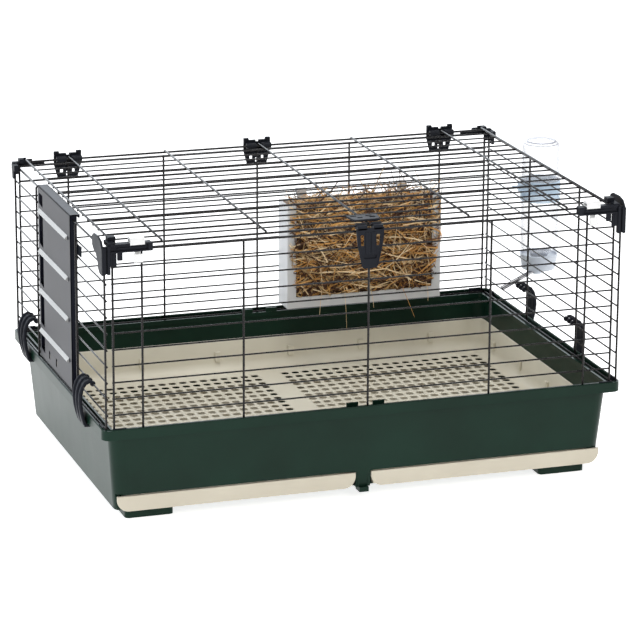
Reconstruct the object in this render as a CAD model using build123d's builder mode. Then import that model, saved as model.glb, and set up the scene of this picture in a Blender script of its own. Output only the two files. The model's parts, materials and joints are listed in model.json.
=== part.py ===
"""Wire rabbit cage on a plastic base with two pull-out drawers.

Millimetres, +Z up. The origin is on the floor under the middle of the base.
+X is the right-hand end, -Y is the front with the drawers.
"""

from build123d import *
import os

os.makedirs("parts", exist_ok=True)

# Base tub
LENGTH = 990.0
WIDTH = 680.0
RIM_TOP = 182.0
RIM_FACE = 18.0
RIM_WALL = 3.0
RIM_WEB = 3.0
CHANNEL_FLOOR = 172.0
CHANNEL_INSET = 19.0
LIP_INSET = 23.0
LIP_TOP = 178.0
BODY_TOP_INSET = 18.0
BODY_DRAFT = 12.0
BODY_BOTTOM = 20.0
WALL = 3.0
FOOT_INNER, FOOT_OUTER = 354.0, 444.0
FOOT_BACK, FOOT_FRONT = 236.0, 294.0
CENTRE_FOOT = (90.0, 60.0)

# Drawers
BAY_TOP = 51.0
BAY_INNER, BAY_OUTER = 14.0, 500.0
DRAWER_INNER, DRAWER_OUTER = 15.0, 464.0
DRAWER_TOP = 49.0
DRAWER_FRONT_Y = -314.5
DRAWER_FRONT_THICK = 4.0
DRAWER_CORNER = 22.0
TRAY_INNER, TRAY_OUTER = 20.0, 446.0
TRAY_DEPTH = 590.0

# Floor insert
INSERT_EDGE = (940.0, 630.0)
INSERT_FLOOR = (920.0, 608.0)
INSERT_TOP = 130.0
INSERT_FLOOR_TOP = 70.0
INSERT_THICK = 2.5
SLOT = (26.0, 10.0)
SLOT_PITCH = (40.0, 34.0)
SLOT_COUNT = (10, 16)
SLOT_FIELD_X = 235.0

# Wires
FRAME_R = 2.0
ROW_R = 1.5
ROW_0 = RIM_TOP - 4.5
ROW_PITCH = 30.0
TOP_ROW = 11
FRONT_Y = WIDTH / 2 - 8.0
SIDE_X = LENGTH / 2 - 8.0
WELD = 0.5
FRONT_POSTS = (-473.0, -420.0, -234.0, 0.0, 234.0, 420.0, 473.0)
BACK_POSTS = (-478.0, -382.0, -191.0, 0.0, 191.0, 382.0, 478.0)
ROOF_RAILS = (-467.0, -382.0, -191.0, 0.0, 191.0, 382.0, 467.0)
RIGHT_POSTS = (-330.0, -137.0, 110.0, 330.0)
DOOR_POSTS = (-131.0, 160.0)
SIDE_END = 330.0
ROOF_Z = 520.0
ROOF_PITCH = 36.0
ROOF_BARS = 19
ROOF_REAR_Y = 322.0
ROOF_FRONT_Y = ROOF_REAR_Y - ROOF_PITCH * (ROOF_BARS - 1)
ROOF_BAR_Z = ROOF_Z - 2 * FRAME_R + WELD
STOUT_ROOF_BARS = (0, 5, 9, 13, 18)

# Side door
DOOR_OUT = -491.0
DOOR_SHEET = 2.0
DOOR_DEPTH = 13.5
DOOR_MID, DOOR_HALF = 13.0, 120.0
DOOR_BOTTOM = 188.0
DOOR_TOP = 518.0
DOOR_LIP = 19.0
HINGE_ROW = 1
STEP_ROWS = (473.0, 396.0, 319.0, 242.0)
LATCH_TRAVEL = 6.0

# Clips
CLIP_XS = {"left": -382.0, "middle": 0.0, "right": 382.0}
CLAMP_ROW = 2
CLAMPS = {
    "left_rear": (-1, 212.0, 25.0),
    "left_front": (-1, -207.0, 25.0),
    "right_rear": (1, 134.0, 20.0),
    "right_front": (1, -113.0, 20.0),
}

# Hay rack
RACK_X = (43.0, 364.0)
RACK_Z = (194.0, 404.0)
RACK_FRONT, RACK_BACK = 270.0, 327.0
RACK_WALL = 2.5
RACK_HOOKS = (90.0, 300.0)
RACK_HOOK_ROW = 8

# Bottle
BOTTLE = (531.0, 162.0)
BOTTLE_R = 37.5
BOTTLE_TOP = 527.0
BOTTLE_WALL = 1.5
CAP = (268.0, 298.0)
TUBE_START = (530.0, 162.0, 266.5)
TUBE_TIP = (455.0, 162.0, 231.0)
TUBE_R, TUBE_BORE, BALL_R = 4.6, 3.7, 3.3


def row_z(index):
    """Height of a wire row; row 0 is the bottom frame wire."""
    return ROW_0 + ROW_PITCH * index


def save(part, name):
    part.label = name
    export_step(part, f"parts/{name}.step")


def rods(plane, places, radius, length):
    """Parallel round wires along the plane's normal, fused into the active part."""
    with BuildSketch(plane) as ends:
        with Locations(*places):
            Circle(radius)
    extrude(ends.sketch, amount=length)


def bar(low, high, mode=Mode.ADD):
    """A square block between two corners, in the active part."""
    centre = tuple((a + b) / 2 for a, b in zip(low, high))
    with Locations(centre):
        Box(*[b - a for a, b in zip(low, high)], mode=mode)


def profile(plane, points, length, mode=Mode.ADD):
    """A straight-edged outline swept along the plane's normal."""
    with BuildSketch(plane) as outline:
        with BuildLine():
            Polyline(*points, close=True)
        make_face()
    extrude(outline.sketch, amount=length, mode=mode)


def x_plane(x):
    """Plane across X whose local axes are world Y and Z."""
    return Plane(origin=(x, 0, 0), x_dir=(0, 1, 0), z_dir=(1, 0, 0))


def y_plane(y):
    """Plane across Y whose local axes are world X and Z; its normal points to -Y."""
    return Plane(origin=(0, y, 0), x_dir=(1, 0, 0), z_dir=(0, -1, 0))


# ---------------------------------------------------------------- base tub
def rim_ring(outer_inset, inner_inset, low, high):
    with BuildSketch(Plane.XY.offset(low)) as ring:
        RectangleRounded(LENGTH - 2 * outer_inset, WIDTH - 2 * outer_inset, 16 - outer_inset / 2)
        RectangleRounded(LENGTH - 2 * inner_inset, WIDTH - 2 * inner_inset, 6, mode=Mode.SUBTRACT)
    extrude(ring.sketch, amount=high - low, mode=Mode.SUBTRACT)


def tapered(low, high, bottom_inset, top_inset, radius, mode=Mode.ADD):
    with BuildSketch(Plane.XY.offset(low)) as bottom:
        RectangleRounded(LENGTH - 2 * bottom_inset, WIDTH - 2 * bottom_inset, radius)
    with BuildSketch(Plane.XY.offset(high)) as top:
        RectangleRounded(LENGTH - 2 * top_inset, WIDTH - 2 * top_inset, radius)
    loft([bottom.sketch.face(), top.sketch.face()], mode=mode)


def foot(centre, size):
    with BuildSketch() as pad:
        with Locations(centre):
            RectangleRounded(*size, 8)
    extrude(pad.sketch, amount=BODY_BOTTOM + 1)


RIM_BOTTOM = RIM_TOP - RIM_FACE
BODY_BOTTOM_INSET = BODY_TOP_INSET + BODY_DRAFT
with BuildPart() as tub:
    tapered(BODY_BOTTOM, RIM_BOTTOM, BODY_BOTTOM_INSET, BODY_TOP_INSET, 24)
    with BuildSketch(Plane.XY.offset(RIM_BOTTOM)):
        RectangleRounded(LENGTH, WIDTH, 16)
    extrude(amount=RIM_FACE)
    tapered(BODY_BOTTOM + WALL, CHANNEL_FLOOR - RIM_WEB, BODY_BOTTOM_INSET + WALL,
            BODY_TOP_INSET + WALL, 21, mode=Mode.SUBTRACT)
    with BuildSketch(Plane.XY.offset(CHANNEL_FLOOR - RIM_WEB - 1)):
        RectangleRounded(LENGTH - 2 * LIP_INSET, WIDTH - 2 * LIP_INSET, 8)
    extrude(amount=RIM_TOP - CHANNEL_FLOOR + RIM_WEB + 2, mode=Mode.SUBTRACT)
    rim_ring(RIM_WALL, CHANNEL_INSET, CHANNEL_FLOOR, RIM_TOP + 1)
    rim_ring(CHANNEL_INSET - 0.5, LIP_INSET + 1, LIP_TOP, RIM_TOP + 1)
    rim_ring(RIM_WALL, BODY_TOP_INSET, RIM_BOTTOM - 0.01, CHANNEL_FLOOR - RIM_WEB)
    for side in (-1, 1):
        bay = sorted((side * BAY_INNER, side * BAY_OUTER))
        bar((bay[0], -WIDTH / 2, BODY_BOTTOM - 1), (bay[1], -300, BAY_TOP), Mode.SUBTRACT)
        rail = sorted((side * 452, side * 455))
        bar((rail[0], -296, BODY_BOTTOM + 1), (rail[1], 296, INSERT_FLOOR_TOP - INSERT_THICK))
        web = sorted((side * 8, side * 11))
        bar((web[0], -312, BODY_BOTTOM + 1), (web[1], 300, INSERT_FLOOR_TOP - INSERT_THICK))
        for end in (-1, 1):
            foot_at = (side * (FOOT_INNER + FOOT_OUTER) / 2, end * (FOOT_BACK + FOOT_FRONT) / 2)
            foot(foot_at, (FOOT_OUTER - FOOT_INNER, FOOT_FRONT - FOOT_BACK))
            tab_x = sorted((side * 14, side * 36))
            tab_y = sorted((end * (WIDTH / 2 - LIP_INSET + 0.5), end * (WIDTH / 2 - CHANNEL_INSET)))
            bar((tab_x[0], tab_y[0], LIP_TOP - 4), (tab_x[1], tab_y[1], RIM_TOP + 4))
    foot((0, 0), CENTRE_FOOT)
    bar((-9, -318, 12), (9, -296, BODY_BOTTOM + 1))
save(tub.part, "tub")


# ---------------------------------------------------------------- floor insert
with BuildPart() as floor_insert:
    for inset, mode in ((0.0, Mode.ADD), (INSERT_THICK, Mode.SUBTRACT)):
        low = INSERT_FLOOR_TOP - INSERT_THICK + inset
        with BuildSketch(Plane.XY.offset(low)):
            RectangleRounded(INSERT_FLOOR[0] - 2 * inset, INSERT_FLOOR[1] - 2 * inset, 18 - inset)
        with BuildSketch(Plane.XY.offset(INSERT_TOP + inset / 5)):
            RectangleRounded(INSERT_EDGE[0] - 2 * inset, INSERT_EDGE[1] - 2 * inset, 20 - inset)
        loft(mode=mode)
    for side in (-1, 1):
        with BuildSketch(Plane.XY.offset(INSERT_FLOOR_TOP - 5)):
            with Locations((side * SLOT_FIELD_X, 0)):
                with GridLocations(*SLOT_PITCH, *SLOT_COUNT):
                    Rectangle(*SLOT)
        extrude(amount=8, mode=Mode.SUBTRACT)
save(floor_insert.part, "floor_insert")


# ---------------------------------------------------------------- drawers
def drawer(side):
    inner_x, outer_x = sorted((side * TRAY_INNER, side * TRAY_OUTER))
    front_x = sorted((side * DRAWER_INNER, side * DRAWER_OUTER))
    tray_bottom = BODY_BOTTOM + WALL + 1.0
    with BuildPart() as piece:
        front = Plane(origin=((front_x[0] + front_x[1]) / 2, DRAWER_FRONT_Y + DRAWER_FRONT_THICK, 0),
                      x_dir=(1, 0, 0), z_dir=(0, -1, 0))
        with BuildSketch(front) as outline:
            with Locations((0, (DRAWER_TOP + BODY_BOTTOM) / 2)):
                Rectangle(front_x[1] - front_x[0], DRAWER_TOP - BODY_BOTTOM)
            fillet(outline.vertices().group_by(Axis.Y)[0], DRAWER_CORNER)
        extrude(amount=DRAWER_FRONT_THICK)
        tray_front = DRAWER_FRONT_Y + DRAWER_FRONT_THICK - 0.5
        tray_back = DRAWER_FRONT_Y + TRAY_DEPTH
        bar((inner_x, tray_front, tray_bottom), (outer_x, tray_back, DRAWER_TOP - 4))
        bar((inner_x + 2.5, tray_front + 4, tray_bottom + 2.5), (outer_x - 2.5, tray_back - 2.5, DRAWER_TOP + 5),
            Mode.SUBTRACT)
        top_edges = piece.faces().filter_by(Axis.Y).sort_by(Axis.Y)[0].edges()
        fillet(top_edges, 1.2)
    return piece.part


save(drawer(-1), "drawer_left")
save(drawer(1), "drawer_right")


# ---------------------------------------------------------------- wire panels
def upright_panel(across_y, posts, inward, stout_rows):
    """Front or back panel: posts on the outside, rows welded on the inside."""
    half = max(posts) + FRAME_R
    rows = [index for index in range(TOP_ROW + 1) if index not in stout_rows]
    with BuildPart() as panel:
        rods(Plane.XY.offset(row_z(0)), [(x, across_y) for x in posts], FRAME_R, row_z(TOP_ROW) - row_z(0))
        thin_y = across_y + inward * (FRAME_R + ROW_R - WELD)
        stout_y = across_y + inward * (2 * FRAME_R - WELD)
        rods(x_plane(-half), [(thin_y, row_z(index)) for index in rows], ROW_R, 2 * half)
        rods(x_plane(-half), [(stout_y, row_z(index)) for index in stout_rows], FRAME_R, 2 * half)
    return panel.part


save(upright_panel(-FRONT_Y, FRONT_POSTS, 1, (0, TOP_ROW)), "front_panel")
save(upright_panel(FRONT_Y, BACK_POSTS, -1, (0, TOP_ROW - 1, TOP_ROW)), "back_panel")


def side_panel(side, posts, row_spans):
    """End panel: row_spans gives, for each set of rows, the wire radius and the Y span."""
    post_x = side * SIDE_X
    with BuildPart() as panel:
        rods(Plane.XY.offset(row_z(0)), [(post_x, y) for y in posts], FRAME_R, row_z(TOP_ROW) - row_z(0))
        for rows, radius, start, end in row_spans:
            row_x = post_x - side * (FRAME_R + radius - WELD)
            rods(y_plane(end), [(row_x, row_z(index)) for index in rows], radius, end - start)
    return panel.part


RUN = SIDE_END + FRAME_R
THIN = range(1, TOP_ROW)
save(side_panel(1, RIGHT_POSTS, [((0, TOP_ROW), FRAME_R, -RUN, RUN), (THIN, ROW_R, -RUN, RUN)]), "right_panel")
LEFT_POSTS = (-SIDE_END, *DOOR_POSTS, SIDE_END)
BY_DOOR = range(2, TOP_ROW)
save(side_panel(-1, LEFT_POSTS, [((0, TOP_ROW), FRAME_R, -RUN, RUN),
                                 ((HINGE_ROW,), ROW_R, -RUN, RUN),
                                 (BY_DOOR, ROW_R, -RUN, DOOR_POSTS[0] + FRAME_R),
                                 (BY_DOOR, ROW_R, DOOR_POSTS[1] - FRAME_R, RUN)]), "left_panel")

with BuildPart() as roof_panel:
    rail_run = ROOF_REAR_Y - ROOF_FRONT_Y + 2 * FRAME_R
    rods(y_plane(ROOF_REAR_Y + FRAME_R), [(x, ROOF_Z) for x in ROOF_RAILS], FRAME_R, rail_run)
    half_run = max(ROOF_RAILS) + FRAME_R
    bar_ys = [ROOF_FRONT_Y + ROOF_PITCH * index for index in range(ROOF_BARS)]
    stout = [(bar_ys[index], ROOF_BAR_Z) for index in STOUT_ROOF_BARS]
    thin = [(y, ROOF_Z - FRAME_R - ROW_R + WELD) for index, y in enumerate(bar_ys)
            if index not in STOUT_ROOF_BARS]
    rods(x_plane(-half_run), stout, FRAME_R, 2 * half_run)
    rods(x_plane(-half_run), thin, ROW_R, 2 * half_run)
save(roof_panel.part, "roof_panel")


# ---------------------------------------------------------------- side door
HINGE_X = -SIDE_X + FRAME_R + ROW_R - WELD
HINGE_Z = row_z(HINGE_ROW)
DOOR_IN = DOOR_OUT + DOOR_DEPTH
DOOR_FRONT, DOOR_REAR = DOOR_MID - DOOR_HALF, DOOR_MID + DOOR_HALF
with BuildPart() as side_door:
    bar((DOOR_OUT, DOOR_FRONT, DOOR_BOTTOM), (DOOR_OUT + DOOR_SHEET, DOOR_REAR, DOOR_TOP))
    for end in (-1, 1):
        edge = DOOR_MID + end * DOOR_HALF
        flange = sorted((edge, edge - end * 2.5))
        bar((DOOR_OUT, flange[0], DOOR_BOTTOM), (DOOR_IN, flange[1], DOOR_TOP))
        notch = sorted((edge + end, edge - end * 4))
        top_wire = -SIDE_X + 2 * FRAME_R - WELD
        bar((top_wire - 2.3, notch[0], row_z(TOP_ROW) - 4), (DOOR_IN + 1, notch[1], row_z(TOP_ROW) + 3), Mode.SUBTRACT)
        bar((HINGE_X - 1.5, notch[0], HINGE_Z - 1.5), (HINGE_X + 1.5, notch[1], HINGE_Z + 1.5), Mode.SUBTRACT)
    bar((DOOR_OUT, DOOR_FRONT, DOOR_TOP - 2.5), (DOOR_OUT + DOOR_LIP, DOOR_REAR, DOOR_TOP))
    with Locations(*[(DOOR_OUT + DOOR_LIP, y, DOOR_TOP - 1) for y in range(-95, 122, 12)]):
        Box(5, 5, 6, mode=Mode.SUBTRACT)
    for step_z in STEP_ROWS:
        profile(y_plane(112), [(DOOR_OUT, step_z - 14), (DOOR_OUT - 5, step_z - 2), (DOOR_OUT - 5, step_z + 1),
                               (DOOR_OUT, step_z + 7)], 188)
    gaps = [DOOR_TOP - 2] + list(STEP_ROWS) + [DOOR_BOTTOM + 8]
    for upper, lower in zip(gaps, gaps[1:]):
        bar((DOOR_OUT - 6, 92, lower + 12), (DOOR_OUT + DOOR_SHEET + 1, 122, upper - 10), Mode.SUBTRACT)
    for hook_y in (62, 10):
        bar((DOOR_OUT - 1, hook_y - 4, HINGE_Z - 9), (DOOR_OUT + DOOR_SHEET + 1, hook_y + 4, HINGE_Z + 7), Mode.SUBTRACT)
    for knuckle_y in (-96, -36, 36, 96):
        with BuildSketch(y_plane(knuckle_y + 6)):
            with Locations((HINGE_X, HINGE_Z)):
                Circle(4.6)
        extrude(amount=12)
        bar((DOOR_OUT + 0.5, knuckle_y - 6, HINGE_Z - 3.5), (HINGE_X, knuckle_y + 6, HINGE_Z + 3.5))
        with BuildSketch(y_plane(knuckle_y + 7)):
            with Locations((HINGE_X, HINGE_Z)):
                Circle(ROW_R + 0.35)
        extrude(amount=14, mode=Mode.SUBTRACT)
save(side_door.part, "side_door")


def door_latch(end):
    """Slide bolt on the inside of a door flange, with a round thumb pin."""
    edge = DOOR_MID + end * DOOR_HALF
    y_in = edge - end * (2.5 + LATCH_TRAVEL + 0.3)
    plate = sorted((y_in, y_in - end * 3.0))
    with BuildPart() as latch:
        bar((DOOR_OUT + 2.5, plate[0], 432), (DOOR_IN + 3, plate[1], 470))
        post_y = DOOR_POSTS[0] if end < 0 else DOOR_POSTS[1]
        pin_y = sorted((post_y - end * 5.0, y_in))
        bar((DOOR_IN + 0.6, pin_y[0], 444), (DOOR_IN + 3, pin_y[1], 462))
        with Locations((DOOR_IN + 6, y_in - end * 1.5, 453)):
            Cylinder(3.2, 8, rotation=(0, 90, 0))
    return latch.part


save(door_latch(-1), "door_latch_front")
save(door_latch(1), "door_latch_rear")


# ---------------------------------------------------------------- corner brackets and sliders
PLATE_X = LENGTH / 2 - 5.5
PLATE_Y = WIDTH / 2 - 5.5


def front_bracket(side):
    with BuildPart() as bracket:
        outer = side * PLATE_X
        if side < 0:
            side_plane = x_plane(outer - 4)
        else:
            side_plane = x_plane(outer)
        profile(side_plane, [(-PLATE_Y - 4, 530), (-282, 530), (-271, 524), (-270, 506), (-298, 498), (-311, 475),
                             (-322, 466), (-PLATE_Y - 4, 466)], 4)
        arm = sorted((outer + side * 4, side * 400))
        bar((arm[0], -PLATE_Y - 4, 500), (arm[1], -PLATE_Y, 514))
        corner = sorted((outer + side * 4, side * 470))
        bar((corner[0], -PLATE_Y - 4, 466), (corner[1], -PLATE_Y, 524))
        for near, far, low in ((470.5, 464, 481), (463, 455, 491)):
            tab = sorted((side * near, side * far))
            bar((tab[0], -PLATE_Y - 3, low), (tab[1], -PLATE_Y, 501))
        top = sorted((side * 472, side * 404))
        bar((top[0], -PLATE_Y - 4, 510), (top[1], -PLATE_Y + 6, 517))
        slot = sorted((side * 449, side * 412))
        bar((slot[0], -PLATE_Y - 1, 512.5), (slot[1], -PLATE_Y + 3, 518), Mode.SUBTRACT)
    return bracket.part


def rear_bracket(side):
    with BuildPart() as bracket:
        outer = side * PLATE_X
        plate = sorted((outer, outer + side * 4))
        bar((plate[0], 296, 496), (plate[1], PLATE_Y + 4, 522))
        bar((plate[0], 318, 480), (plate[1], PLATE_Y + 4, 497))
        back = sorted((outer + side * 4, side * 428))
        bar((back[0], PLATE_Y, 499), (back[1], PLATE_Y + 4, 514))
        corner = sorted((outer + side * 4, side * 466))
        bar((corner[0], PLATE_Y, 480), (corner[1], PLATE_Y + 4, 522))
    return bracket.part


def slider(side):
    """White slide catch: a thumb block above the bracket, a keel in its slot and a lower tongue in front."""
    with BuildPart() as catch:
        block = sorted((side * 442, side * 416))
        bar((block[0], -PLATE_Y - 4, 517.4), (block[1], -PLATE_Y + 5, 530))
        with Locations((side * 429, -PLATE_Y + 0.5, 530)):
            Box(14, 4, 6, mode=Mode.SUBTRACT)
        bar((block[0] + 4, -PLATE_Y - 0.5, 513.0), (block[1] - 4, -PLATE_Y + 2.5, 518))
        tongue = sorted((side * 434, side * 418))
        bar((tongue[0], -PLATE_Y - 7, 486), (tongue[1], -PLATE_Y - 4.5, 526))
        bar((tongue[0], -PLATE_Y - 6, 520), (tongue[1], -PLATE_Y - 2, 526))
    return catch.part


for side, word in ((-1, "left"), (1, "right")):
    save(front_bracket(side), f"corner_front_{word}")
    save(rear_bracket(side), f"corner_rear_{word}")
    save(slider(side), f"slider_{word}")


# ---------------------------------------------------------------- roof hinge clips and front clip
EYE_R, EYE_BORE = 5.4, 2.2


def eye(y, z, start, end):
    """Ring round a wire that runs along X."""
    with BuildSketch(x_plane(start)) as ring:
        with Locations((y, z)):
            Circle(EYE_R)
    extrude(ring.sketch, amount=end - start)


def eye_bore(y, z, start, end):
    with BuildSketch(x_plane(start)) as bore:
        with Locations((y, z)):
            Circle(EYE_BORE)
    extrude(bore.sketch, amount=end - start, mode=Mode.SUBTRACT)


def hinge_clip(x):
    plate_y = FRONT_Y + FRAME_R + 0.6
    with BuildPart() as clip:
        profile(y_plane(plate_y + 4), [(x - 27, 524), (x + 27, 524), (x + 27, 504), (x + 19, 473), (x - 19, 473),
                                       (x - 27, 504)], 4)
        for end in (-1, 1):
            span = sorted((x + end * 5, x + end * 25))
            eye(ROOF_REAR_Y, ROOF_BAR_Z, span[0], span[1])
            bar((span[0], ROOF_REAR_Y + 2.6, 513), (span[1], plate_y + 3, 522))
            window = sorted((x + end * 4, x + end * 13))
            bar((window[0], plate_y - 1, 481), (window[1], plate_y + 5, 496), Mode.SUBTRACT)
            ear = sorted((x + end * 21, x + end * 27))
            bar((ear[0], plate_y, 520), (ear[1], plate_y + 4, 530))
        eye_bore(ROOF_REAR_Y, ROOF_BAR_Z, x - 30, x + 30)
        bar((x - 5, ROOF_REAR_Y - 8, 512), (x + 5, plate_y + 1, 530), Mode.SUBTRACT)
    return clip.part


for word, clip_x in CLIP_XS.items():
    save(hinge_clip(clip_x), f"roof_clip_{word}")

FLAP_Y = -FRONT_Y - FRAME_R - 1.5
with BuildPart() as front_flap:
    profile(y_plane(FLAP_Y), [(-26, 514), (26, 514), (25, 494), (14, 440), (-14, 440), (-25, 494)], 4)
    for end in (-1, 1):
        window = sorted((end * 9, end * 16))
        bar((window[0], FLAP_Y - 5, 478), (window[1], FLAP_Y + 1, 502), Mode.SUBTRACT)
    for end in (-1, 1):
        span = sorted((end * 6, end * 24))
        eye(ROOF_FRONT_Y, ROOF_BAR_Z, span[0], span[1])
        bar((span[0], FLAP_Y - 4, 511.8), (span[1], ROOF_FRONT_Y - 2.6, 519))
    eye_bore(ROOF_FRONT_Y, ROOF_BAR_Z, -40, 40)
save(front_flap.part, "front_clip_flap")

with BuildPart() as front_base:
    bar((-29, -312, 522.2), (29, -286, 526))
    for x in (-20, -9, 9, 20):
        bar((x - 3, -308, 521), (x + 3, -292, 527), Mode.SUBTRACT)
    bar((-24, -320, 522.2), (24, -311, 525))
save(front_base.part, "front_clip_base")


# ---------------------------------------------------------------- base corner connectors
def base_corner(side, end):
    """L-shaped foot of the wire top, under the wires in the rim channel, with an outer fence."""
    x_out, y_out = LENGTH / 2 - RIM_WALL - 0.3, WIDTH / 2 - RIM_WALL - 0.3
    floor_z = CHANNEL_FLOOR
    with BuildPart() as connector:
        for reach_x, reach_y in ((40, 12), (12, 40)):
            xs = sorted((side * (x_out - 4.5), side * (x_out - reach_x)))
            ys = sorted((end * (y_out - 4.5), end * (y_out - reach_y)))
            bar((xs[0], ys[0], floor_z), (xs[1], ys[1], floor_z + 3))
        for deep_x, deep_y in ((12, 40), (40, 12)):
            xs = sorted((side * (x_out - (15 if deep_x > 12 else 0)), side * (x_out - deep_x)))
            ys = sorted((end * (y_out - (15 if deep_y > 12 else 0)), end * (y_out - deep_y)))
            bar((xs[0], ys[0], floor_z), (xs[1], ys[1], floor_z + 3))
        xs = sorted((side * x_out, side * (x_out - 2.4)))
        ys = sorted((end * (y_out - 15), end * (y_out - 40)))
        bar((xs[0], ys[0], floor_z), (xs[1], ys[1], RIM_TOP + 3))
        xs = sorted((side * (x_out - 15), side * (x_out - 40)))
        ys = sorted((end * y_out, end * (y_out - 2.2)))
        bar((xs[0], ys[0], floor_z), (xs[1], ys[1], RIM_TOP + 3))
    return connector.part


for side, side_word in ((-1, "left"), (1, "right")):
    for end, end_word in ((-1, "front"), (1, "rear")):
        save(base_corner(side, end), f"base_corner_{end_word}_{side_word}")


# ---------------------------------------------------------------- side clamps
def side_clamp(side, centre_y, half):
    """Bowed clamp that turns on a side wire and hooks under the rim."""
    wire_x = SIDE_X - FRAME_R - ROW_R + WELD
    wire_z = row_z(CLAMP_ROW)
    eye_r = 4.6

    def outline(y_start, width, shape):
        plane = Plane(origin=(0, y_start, 0), x_dir=(side, 0, 0), z_dir=(0, -side, 0))
        with BuildSketch(plane) as face:
            with BuildLine():
                shape()
            make_face()
        extrude(face.sketch, amount=-side * width)

    def skin():
        outer = ThreePointArc((wire_x + 7, wire_z + 7), (507, 208), (500.5, 158))
        toe = Polyline(outer @ 1, (489, 157), (489, 161.5), (496.8, 162.5))
        inner = ThreePointArc(toe @ 1, (503.6, 208), (wire_x + 6, wire_z + 2.5))
        Line(inner @ 1, outer @ 0)

    def rib():
        outer = ThreePointArc((wire_x - 1, wire_z + 4.4), (509.5, 212), (500.5, 160))
        inner = ThreePointArc((496.8, 163), (502.5, 206), (wire_x + 3.2, wire_z + 1))
        Line(outer @ 1, inner @ 0)
        Line(inner @ 1, outer @ 0)

    with BuildPart() as clamp:
        outline(centre_y - half, 2 * half, skin)
        for y in (centre_y - half, centre_y + half - 6):
            outline(y, 6, rib)
            plane = Plane(origin=(side * wire_x, y, wire_z), x_dir=(1, 0, 0), z_dir=(0, 1, 0))
            with BuildSketch(plane):
                Circle(eye_r)
            extrude(amount=6)
        plane = Plane(origin=(side * wire_x, centre_y - half - 1, wire_z), x_dir=(1, 0, 0), z_dir=(0, 1, 0))
        with BuildSketch(plane):
            Circle(ROW_R + 0.35)
        extrude(amount=2 * half + 2, mode=Mode.SUBTRACT)
    return clamp.part


for word, placing in CLAMPS.items():
    save(side_clamp(*placing), f"side_clamp_{word}")


# ---------------------------------------------------------------- hay rack and hay
with BuildPart() as hay_rack:
    rack_y = (RACK_FRONT + RACK_BACK) / 2
    bar((RACK_X[0], RACK_FRONT, RACK_Z[0]), (RACK_X[1], RACK_BACK, RACK_Z[1]))
    bar((RACK_X[0] + RACK_WALL, RACK_FRONT + RACK_WALL, RACK_Z[0] + RACK_WALL),
        (RACK_X[1] - RACK_WALL, RACK_BACK - RACK_WALL, RACK_Z[1] + 5), Mode.SUBTRACT)
    bar((RACK_X[0] + 18, RACK_FRONT - 1, RACK_Z[0] + 22),
        (RACK_X[1] - 18, RACK_FRONT + RACK_WALL + 1, RACK_Z[1] + 5), Mode.SUBTRACT)
    hook_top = row_z(RACK_HOOK_ROW) + 3.0
    for hook_x in RACK_HOOKS:
        bar((hook_x - 10, RACK_BACK - RACK_WALL, RACK_Z[1] - 10), (hook_x + 10, RACK_BACK, hook_top + 2.5))
        bar((hook_x - 10, RACK_BACK - RACK_WALL, hook_top), (hook_x + 10, FRONT_Y + 2.5, hook_top + 2.5))
        bar((hook_x - 10, FRONT_Y, hook_top - 10), (hook_x + 10, FRONT_Y + 2.5, hook_top + 1))
save(hay_rack.part, "hay_rack")

with BuildPart() as hay_fill:
    bar((RACK_X[0] + 4, RACK_FRONT + 4, RACK_Z[0] + 4), (RACK_X[1] - 4, RACK_BACK - 4, RACK_Z[1] + 8))
    fillet(hay_fill.edges(), 6)
save(hay_fill.part, "hay_fill")


# ---------------------------------------------------------------- bottle
def bottle_profile(inset):
    """Half section of the inverted bottle, from the neck up to its base."""
    radius = BOTTLE_R - inset
    top = BOTTLE_TOP - inset
    start = Polyline((0, CAP[0] + 8 - (3 if inset else 0)), (17 - inset, CAP[0] + 8 - (3 if inset else 0)),
                     (17 - inset, CAP[1] - 2), (radius, CAP[1] + 12), (radius, top - 14))
    dome = RadiusArc(start @ 1, (radius - 14, top), -14)
    Polyline(dome @ 1, (0, top), start @ 0)


BOTTLE_PLANE = Plane(origin=(BOTTLE[0], BOTTLE[1], 0), x_dir=(1, 0, 0), z_dir=(0, -1, 0))
with BuildPart() as bottle_body:
    with BuildSketch(BOTTLE_PLANE):
        with BuildLine():
            bottle_profile(0)
        make_face()
    revolve(axis=Axis((BOTTLE[0], BOTTLE[1], 0), (0, 0, 1)))
    with BuildSketch(BOTTLE_PLANE):
        with BuildLine():
            bottle_profile(BOTTLE_WALL)
        make_face()
    revolve(axis=Axis((BOTTLE[0], BOTTLE[1], 0), (0, 0, 1)), mode=Mode.SUBTRACT)
save(bottle_body.part, "bottle_body")

TUBE_AXIS = Vector(*TUBE_TIP) - Vector(*TUBE_START)
TUBE_DIR = TUBE_AXIS.normalized()
TUBE_LENGTH = TUBE_AXIS.length
TUBE_MOUTH = 2.6
with BuildPart() as bottle_cap:
    with BuildSketch(Plane.XY.offset(CAP[0])):
        with Locations(BOTTLE):
            Circle(33)
    with BuildSketch(Plane.XY.offset(CAP[1])):
        with Locations(BOTTLE):
            Circle(38)
    loft()
    with BuildSketch(Plane.XY.offset(CAP[0] + 4)):
        with Locations(BOTTLE):
            Circle(17.4)
    extrude(amount=40, mode=Mode.SUBTRACT)
    with BuildSketch(Plane.XY.offset(CAP[1] - 4)):
        with Locations(BOTTLE):
            Circle(35)
    extrude(amount=10, mode=Mode.SUBTRACT)
    with Locations((TUBE_START[0] - 2, TUBE_START[1], CAP[0] - 5)):
        Cylinder(10, 12)
    with BuildSketch(Plane(origin=TUBE_TIP, z_dir=-TUBE_DIR)):
        Circle(TUBE_R)
    extrude(amount=TUBE_LENGTH, mode=Mode.SUBTRACT)
    with Locations((TUBE_START[0], TUBE_START[1], CAP[0] + 2)):
        Cylinder(2.5, 6, mode=Mode.SUBTRACT)
save(bottle_cap.part, "bottle_cap")

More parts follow.
